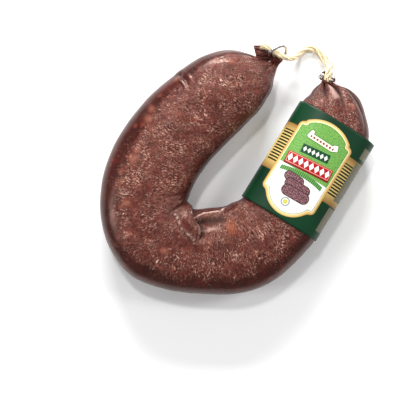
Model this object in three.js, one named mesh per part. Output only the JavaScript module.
// A pressed, horseshoe-shaped cured sausage, lying on its flat side.
// One filled casing, gathered into a neck at each end, carries a wire clip on each neck, a printed
// paper band round one arm, and a hanging string that both clips hold.
//
// Millimetres, +Z up. The underside lies on Z = 0, and the origin is under the middle of the
// sausage, its band and its clips. The closed bend of the horseshoe points to -X, -Y.
import * as THREE from "three";

const CENTRING = [0.18, 0.22]; // moves the middle of the whole over the origin

// The casing. Each row is one cross-section, as seen from above: the point on the outer rim of the
// horseshoe, then the point on its inner rim, from the left end round the bend to the right end.
const BODY_SECTIONS = [
  [12.6, 61.9, 22.5, 56.9],
  [5.8, 65.0, 21.0, 51.5],
  [-4.5, 66.7, 19.2, 45.0],
  [-19.5, 63.2, 13.6, 35.2],
  [-34.5, 53.4, 4.0, 24.5],
  [-49.0, 40.8, -7.5, 13.4],
  [-61.5, 25.8, -16.3, 3.5],
  [-70.3, 10.4, -22.4, -5.0],
  [-75.8, -8.5, -26.9, -14.5],
  [-76.0, -29.0, -27.8, -18.6],
  [-70.5, -46.0, -26.9, -20.6],
  [-59.5, -59.8, -24.6, -21.7],
  [-41.0, -66.9, -20.5, -21.8],
  [-19.0, -69.9, -14.5, -21.5],
  [2.5, -69.0, -8.5, -20.8],
  [21.6, -61.3, -3.2, -18.6],
  [42.5, -40.9, 2.5, -16.3],
  [59.3, -13.6, 19.3, 11.0],
  [73.2, 15.2, 36.6, 37.8],
  [71.9, 29.5, 40.3, 41.8],
  [68.3, 39.6, 42.9, 44.8],
  [63.2, 44.6, 45.0, 47.0],
  [56.6, 47.4, 46.7, 48.4],
];
const FIRST_BANDED = 16; // the paper band covers the body between these two sections
const LAST_BANDED = 18;
const PRESSED_LIMIT = 16.4; // pressing keeps half the height below this, however wide a section is
const SECTION_POWER = 2.6; // 2 is an ellipse; more is flatter on its faces
const SINK = 1.0; // how far the flat underside is pressed in
const LIFTED_BELOW = 2.7; // half width at which a section is as high as the necks, which start here
const LYING_ABOVE = 19; // half width at which a section lies on its underside
const RING_POINTS = 36;
const RINGS_PER_SECTION = 3;

// The necks, from the shoulder through the clip to the tip of the casing's tail. Each row is where a
// section is, which way the neck is heading there in degrees, and half the section's width and height.
const NECK_Z = 11.0;
const LEFT_NECK = [
  [20.6, 59.6, 65, 2.7, 2.0],
  [22.3, 64.2, 115, 2.6, 1.5],
  [20.6, 66.6, 150, 2.3, 1.4],
  [16.5, 67.3, 180, 2.3, 1.3],
  [10.5, 66.7, 190, 3.0, 1.2],
];
const RIGHT_NECK = [
  [50.4, 49.6, 82, 2.9, 2.0],
  [50.2, 51.3, 76, 2.6, 1.5],
  [51.0, 54.6, 76, 3.3, 1.2],
];
const PLEATS = 9;
const PLEAT_DEPTH = 0.13; // share of the radius, at the neck
const PLEAT_REACH = 7.0; // half width at which the pleats have faded

// The clips: a round wire bent round the neck into a staple, whose two ends curl in over the string
// on the right neck and under the casing on the left one. A tilted clip leans ahead along its neck.
const WIRE_RADIUS = 0.9;
const CLIP_TIP = 1.8; // the open ends are this far from the middle
const LEFT_CLIP = { neck: 1, ahead: 1.0, reach: [4.0, 5.9], halfHeight: 4.9, z: 12.2, endsUp: false, tilt: 28 };
const RIGHT_CLIP = { neck: 1, ahead: 0, reach: [3.9, 4.4], halfHeight: 3.9, z: 12.2, endsUp: true, tilt: 8 };
const WIRE_SIDES = 10;
const WIRE_STEPS = 36;

// The paper band: a flat sleeve along a straight axis.
const BAND_BOTTOM = [23.0, -27.7];
const BAND_TOP = [55.6, 25.2];
const BAND_HALF_WIDTH = 24.25;
const BAND_THICKNESS = 0.4;
const BAND_GAP = 0.3;
const BAND_LIFT = 0.3; // the band's underside is this far above the surface the sausage lies on
const BAND_POINTS = 48;

// The hanging string: one soft twine. It starts in a short free end, passes through the left clip,
// comes down to the surface, goes round in a loose arc and climbs to the right clip.
const STRING_RADIUS = 1.2;
const STRING_SIDES = 8;
const STRING_STEPS = 56;
const STRING_ROUTE = [
  [13.4, 69.4, 14.9],
  [18.0, 67.6, 14.5],
  [22.4, 64.8, 14.2],
  [26.6, 62.8, 13.6],
  [30.2, 62.6, 10.4],
  [33.2, 64.2, 5.8],
  [36.4, 67.0, 2.3],
  [40.2, 69.6, 1.3],
  [44.4, 69.6, 1.3],
  [47.9, 66.8, 1.3],
  [50.9, 63.4, 2.2],
  [52.8, 60.2, 5.6],
  [53.0, 57.4, 10.2],
  [51.9, 54.8, 13.6],
  [50.7, 52.0, 14.4],
  [50.1, 49.8, 15.3],
];

const BAND_AXIS = new THREE.Vector3(BAND_TOP[0] - BAND_BOTTOM[0], BAND_TOP[1] - BAND_BOTTOM[1], 0);
const BAND_LENGTH = BAND_AXIS.length();
BAND_AXIS.normalize();
const UNDER_BAND = BAND_LIFT + BAND_THICKNESS + BAND_GAP; // how high the casing is where the band is under it
const UP = new THREE.Vector3(0, 0, 1);
const BAND_ACROSS = UP.clone().cross(BAND_AXIS);

const signedPower = (value, power) => Math.sign(value) * Math.abs(value) ** power;

// Half the height that pressing leaves to a section of this half width.
const pressedHalfHeight = (halfWidth) => halfWidth / Math.cbrt(1 + (halfWidth / PRESSED_LIMIT) ** 3);

// The height at which a section is centred: the body lies on its underside, and a neck is held up.
function centreHeight(halfWidth) {
  const lying = pressedHalfHeight(halfWidth) - SINK;
  return NECK_Z + (lying - NECK_Z) * THREE.MathUtils.smoothstep(halfWidth, LIFTED_BELOW, LYING_ABOVE);
}

// A section as the two rails and the profile see it.
function section(outer, inner, halfHeight, centreZ, floor = 0) {
  return {
    outer: new THREE.Vector3(outer[0], outer[1], 0),
    inner: new THREE.Vector3(inner[0], inner[1], 0),
    profile: new THREE.Vector3(halfHeight, centreZ, floor),
  };
}

function bodySection(row, index) {
  const halfWidth = Math.hypot(row[0] - row[2], row[1] - row[3]) / 2;
  const banded = index >= FIRST_BANDED && index <= LAST_BANDED;
  return section(
    row.slice(0, 2),
    row.slice(2),
    pressedHalfHeight(halfWidth),
    centreHeight(halfWidth),
    banded ? UNDER_BAND : 0,
  );
}

// The unit vector of a heading in degrees, and the one to its left.
function directions(heading) {
  const angle = THREE.MathUtils.degToRad(heading);
  return {
    ahead: new THREE.Vector3(Math.cos(angle), Math.sin(angle), 0),
    left: new THREE.Vector3(-Math.sin(angle), Math.cos(angle), 0),
  };
}

// A neck's section. The outer rail is on its left at the left end, and on its right at the right end.
function neckSection([x, y, heading, halfWidth, halfHeight], outerSide) {
  const { left } = directions(heading);
  const reach = halfWidth * outerSide;
  return section(
    [x + left.x * reach, y + left.y * reach],
    [x - left.x * reach, y - left.y * reach],
    halfHeight,
    NECK_Z,
  );
}

// The largest casing that the band has room for: half its width, half its height, its middle's height.
function roomInBand() {
  const halfWidth = BAND_HALF_WIDTH - BAND_THICKNESS - BAND_GAP;
  const halfHeight = pressedHalfHeight(halfWidth);
  return { halfWidth, halfHeight, centreZ: halfHeight - SINK };
}

// Moves a point of the casing in until it is under the band.
function tuckedUnderBand(point) {
  const room = roomInBand();
  const across = point.clone().sub(new THREE.Vector3(...BAND_BOTTOM, 0)).dot(BAND_ACROSS);
  const up = point.z - room.centreZ;
  const reach =
    Math.abs(across / room.halfWidth) ** SECTION_POWER + Math.abs(up / room.halfHeight) ** SECTION_POWER;
  const keep = reach > 1 ? reach ** (-1 / SECTION_POWER) : 1;
  const height = Math.max(UNDER_BAND, room.centreZ + up * keep);
  return point.addScaledVector(BAND_ACROSS, across * (keep - 1)).setZ(height);
}

// One ring of points: a pressed oval between the rails, pleated near the necks, flat underneath.
function ringAt(outer, inner, profile) {
  const centre = outer.clone().add(inner).multiplyScalar(0.5);
  const lateral = outer.clone().sub(inner).multiplyScalar(0.5);
  const halfWidth = lateral.length();
  const pleatDepth = PLEAT_DEPTH * Math.exp(-((halfWidth / PLEAT_REACH) ** 2));
  const ring = [];
  for (let i = 0; i < RING_POINTS; i++) {
    const angle = (2 * Math.PI * i) / RING_POINTS;
    const pleat = 1 - pleatDepth * (0.5 + 0.5 * Math.cos(PLEATS * angle));
    const across = signedPower(Math.cos(angle), 2 / SECTION_POWER) * pleat;
    const up = signedPower(Math.sin(angle), 2 / SECTION_POWER) * pleat * profile.x;
    const point = centre.clone().addScaledVector(lateral, across);
    ring.push(point.setZ(Math.max(profile.z, 0, profile.y + up)));
  }
  return ring;
}

// A closed skin over rings of equal size, with a fan of triangles over the first and the last.
function loft(rings) {
  const size = rings[0].length;
  const points = rings.flat();
  const middle = (ring) => ring.reduce((sum, p) => sum.add(p), new THREE.Vector3()).divideScalar(size);
  points.push(middle(rings[0]), middle(rings.at(-1)));
  const [firstCap, lastCap] = [points.length - 2, points.length - 1];
  const lastRing = (rings.length - 1) * size;
  const faces = [];
  for (let i = 0; i < size; i++) {
    const next = (i + 1) % size;
    for (let ring = 0; ring < lastRing; ring += size) {
      faces.push(ring + i, ring + size + i, ring + next);
      faces.push(ring + next, ring + size + i, ring + size + next);
    }
    faces.push(firstCap, i, next);
    faces.push(lastCap, lastRing + next, lastRing + i);
  }
  return new THREE.BufferGeometry().setFromPoints(points).setIndex(faces);
}

// Turns the faces round, for a loft whose rings run the other way.
function turnedRound(geometry) {
  const faces = Array.from(geometry.index.array);
  for (let i = 0; i < faces.length; i += 3) [faces[i + 1], faces[i + 2]] = [faces[i + 2], faces[i + 1]];
  return geometry.setIndex(faces);
}

function sausageGeometry() {
  const sections = [
    ...LEFT_NECK.map((row) => neckSection(row, 1)).reverse(),
    ...BODY_SECTIONS.map(bodySection),
    ...RIGHT_NECK.map((row) => neckSection(row, -1)),
  ];
  const rail = (key, type) => new THREE.CatmullRomCurve3(sections.map((s) => s[key]), false, type);
  const outer = rail("outer", "centripetal");
  const inner = rail("inner", "centripetal");
  const profile = rail("profile", "catmullrom");
  const steps = (sections.length - 1) * RINGS_PER_SECTION;
  const rings = [];
  const firstTucked = (FIRST_BANDED + LEFT_NECK.length) * RINGS_PER_SECTION;
  const lastTucked = (LAST_BANDED + LEFT_NECK.length) * RINGS_PER_SECTION;
  for (let i = 0; i <= steps; i++) {
    const t = i / steps;
    const ring = ringAt(outer.getPoint(t), inner.getPoint(t), profile.getPoint(t));
    const banded = i >= firstTucked && i <= lastTucked;
    rings.push(banded ? ring.map(tuckedUnderBand) : ring);
  }
  return loft(rings);
}

// The band's cross-section, pressed and flat underneath like the sausage's, as a list of points.
function bandOutline(offset) {
  const room = roomInBand();
  const outline = [];
  for (let i = 0; i < BAND_POINTS; i++) {
    const angle = (2 * Math.PI * i) / BAND_POINTS;
    const across = signedPower(Math.cos(angle), 2 / SECTION_POWER) * (room.halfWidth + offset);
    const up = signedPower(Math.sin(angle), 2 / SECTION_POWER) * (room.halfHeight + offset);
    outline.push(new THREE.Vector2(across, Math.max(UNDER_BAND - offset, room.centreZ + up)));
  }
  return outline;
}

function bandMesh(material) {
  const shape = new THREE.Shape(bandOutline(BAND_GAP + BAND_THICKNESS));
  shape.holes.push(new THREE.Path(bandOutline(BAND_GAP).reverse()));
  const geometry = new THREE.ExtrudeGeometry(shape, { depth: BAND_LENGTH, bevelEnabled: false });
  const mesh = new THREE.Mesh(geometry, material);
  mesh.quaternion.setFromRotationMatrix(new THREE.Matrix4().makeBasis(BAND_ACROSS, UP, BAND_AXIS));
  mesh.position.set(BAND_BOTTOM[0], BAND_BOTTOM[1], 0);
  return mesh;
}

// A round section for whatever is drawn along a path.
function roundSection(radius, sides) {
  const shape = new THREE.Shape();
  for (let i = 0; i < sides; i++) {
    const angle = (2 * Math.PI * (i + 0.5)) / sides;
    const point = [radius * Math.cos(angle), radius * Math.sin(angle)];
    if (i === 0) shape.moveTo(...point);
    else shape.lineTo(...point);
  }
  shape.closePath();
  return shape;
}

// A wire clip, in its own frame: X to the left across the neck, Y up, Z along the neck.
function clipGeometry({ reach, halfHeight, endsUp }) {
  const open = endsUp ? 1 : -1; // the side that the ends are on
  const half = (side) => [
    new THREE.Vector3(Math.sign(side) * CLIP_TIP, halfHeight * open, 0),
    new THREE.Vector3(side * 0.82, halfHeight * 0.88 * open, 0),
    new THREE.Vector3(side, halfHeight * 0.35 * open, 0),
    new THREE.Vector3(side, -halfHeight * 0.4 * open, 0),
    new THREE.Vector3(side * 0.72, -halfHeight * 0.88 * open, 0),
  ];
  const bridge = new THREE.Vector3(0, -halfHeight * open, 0);
  const points = [...half(reach[0]), bridge, ...half(-reach[1]).reverse()];
  return new THREE.ExtrudeGeometry(roundSection(WIRE_RADIUS, WIRE_SIDES), {
    steps: WIRE_STEPS,
    extrudePath: new THREE.CatmullRomCurve3(points, false, "centripetal"),
  });
}

function clipMesh(clip, neck, material) {
  const mesh = new THREE.Mesh(clipGeometry(clip), material);
  const [x, y, heading] = neck[clip.neck];
  const { ahead } = directions(heading);
  const across = UP.clone().cross(ahead);
  mesh.quaternion.setFromRotationMatrix(new THREE.Matrix4().makeBasis(across, UP, ahead));
  mesh.rotateX(THREE.MathUtils.degToRad(clip.tilt));
  mesh.position.set(x, y, clip.z).addScaledVector(ahead, clip.ahead);
  return mesh;
}

function stringGeometry() {
  const route = new THREE.CatmullRomCurve3(
    STRING_ROUTE.map((p) => new THREE.Vector3(...p)),
    false,
    "centripetal",
  );
  return new THREE.ExtrudeGeometry(roundSection(STRING_RADIUS, STRING_SIDES), {
    steps: STRING_STEPS,
    extrudePath: route,
  });
}

const casing = new THREE.MeshStandardMaterial({ color: 0x7a4943, roughness: 0.42, metalness: 0 });
const aluminium = new THREE.MeshStandardMaterial({ color: 0xc9c9c6, roughness: 0.3, metalness: 1 });
const paper = new THREE.MeshStandardMaterial({ color: 0x1e4e2e, roughness: 0.35, metalness: 0 });
const twine = new THREE.MeshStandardMaterial({ color: 0xe8d5a4, roughness: 0.85, metalness: 0 });

function named(mesh, name) {
  mesh.name = name;
  return mesh;
}

const laidOut = new THREE.Group();
laidOut.position.set(CENTRING[0], CENTRING[1], 0);
laidOut.add(named(new THREE.Mesh(sausageGeometry(), casing), "sausage"));
laidOut.add(named(bandMesh(paper), "label_band"));
laidOut.add(named(clipMesh(LEFT_CLIP, LEFT_NECK, aluminium), "left_clip"));
laidOut.add(named(clipMesh(RIGHT_CLIP, RIGHT_NECK, aluminium), "right_clip"));
laidOut.add(named(new THREE.Mesh(stringGeometry(), twine), "hanging_string"));

const part = new THREE.Group();
part.add(laidOut);

export default part;
